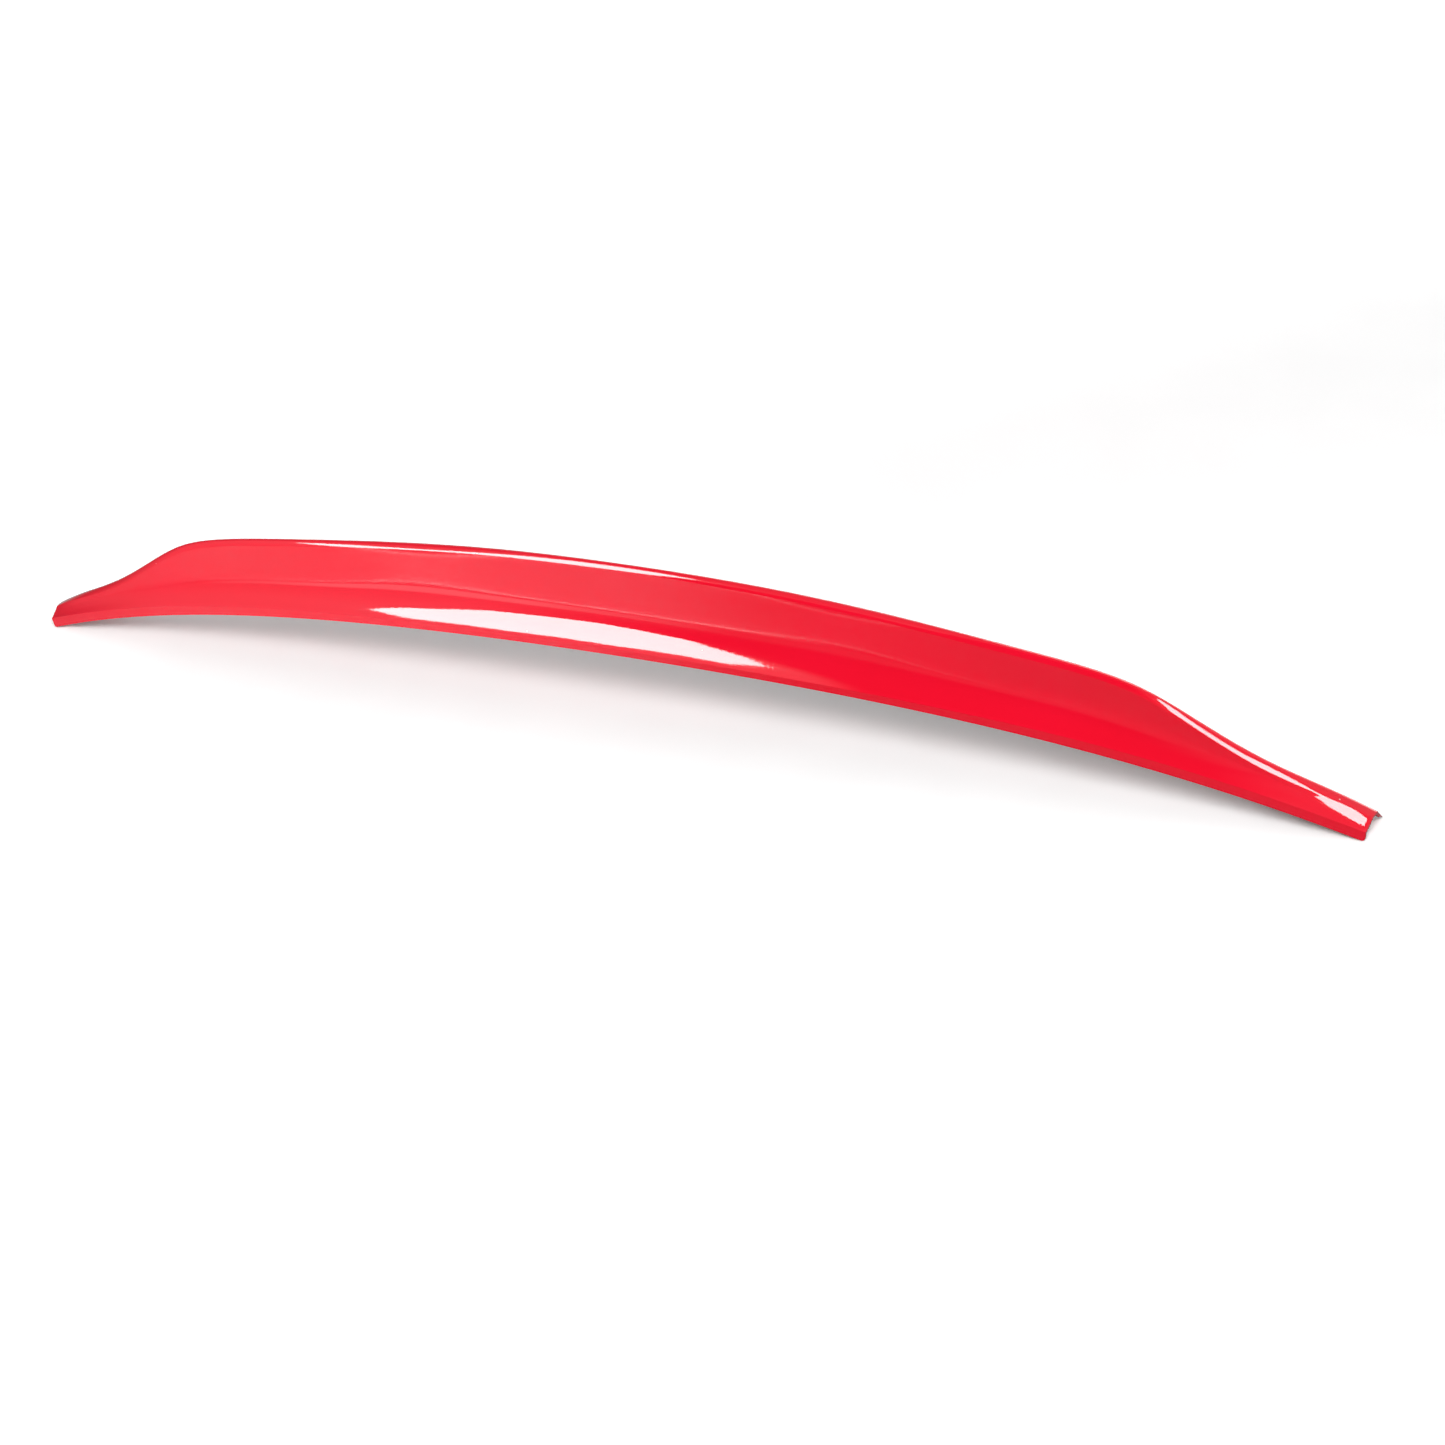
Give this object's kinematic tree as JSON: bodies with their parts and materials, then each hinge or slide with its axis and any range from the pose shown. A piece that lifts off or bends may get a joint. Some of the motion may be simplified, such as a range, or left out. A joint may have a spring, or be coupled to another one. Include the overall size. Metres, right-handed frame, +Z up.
{
  "type": "boot lid spoiler",
  "caption": "Curved duckbill boot-lid spoiler, a thin painted shell that is taped to a car's boot lid to kick the airflow up over its tail.",
  "frame": {"origin": "on the floor, under the middle of the part as it stands on its two tips", "axes": "+X along the spoiler, to the right seen from behind the car; +Y towards the front of the car; +Z up from the floor the tips stand on"},
  "size_m": [1.2556, 0.092, 0.148],
  "materials": {
    "gloss_red_paint": "bright red paint under clear lacquer on moulded ABS",
    "foam_tape": "matt closed-cell acrylic foam tape",
    "release_film": "smooth red release film"
  },
  "bodies": {
    "root": {"spoiler_skin": "gloss_red_paint", "rear_tape_left": "foam_tape", "rear_tape_centre": "foam_tape", "rear_tape_right": "foam_tape", "rear_liner_left": "release_film", "rear_liner_centre": "release_film", "rear_liner_right": "release_film", "front_tape_left": "foam_tape", "front_tape_centre": "foam_tape", "front_tape_right": "foam_tape", "front_liner_left": "release_film", "front_liner_centre": "release_film", "front_liner_right": "release_film"}
  },
  "joints": []
}
